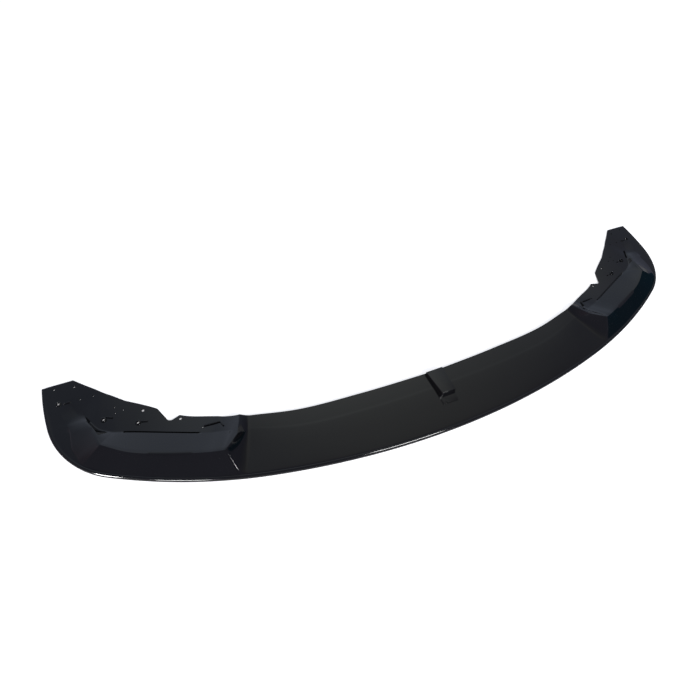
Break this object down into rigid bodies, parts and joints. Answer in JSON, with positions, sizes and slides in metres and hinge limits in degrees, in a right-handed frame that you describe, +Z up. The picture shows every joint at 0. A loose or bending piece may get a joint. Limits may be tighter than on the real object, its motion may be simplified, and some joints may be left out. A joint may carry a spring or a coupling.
{
  "type": "front splitter lip",
  "caption": "Wide curved car front lip, a thin moulded shell with a raised rim, a blister and a drilled fixing shelf at each end, and a block at the middle of the rear edge.",
  "frame": {"origin": "middle of the footprint, on the surface that the lip rests on", "axes": "+Z up, the front of the lip faces -Y, +X along the lip towards the car's left-hand end as seen from the front"},
  "size_m": [1.7288, 0.418, 0.043],
  "materials": {
    "gloss_black": "high gloss black moulded plastic"
  },
  "bodies": {
    "root": {"splitter_lip": "gloss_black"}
  },
  "joints": []
}
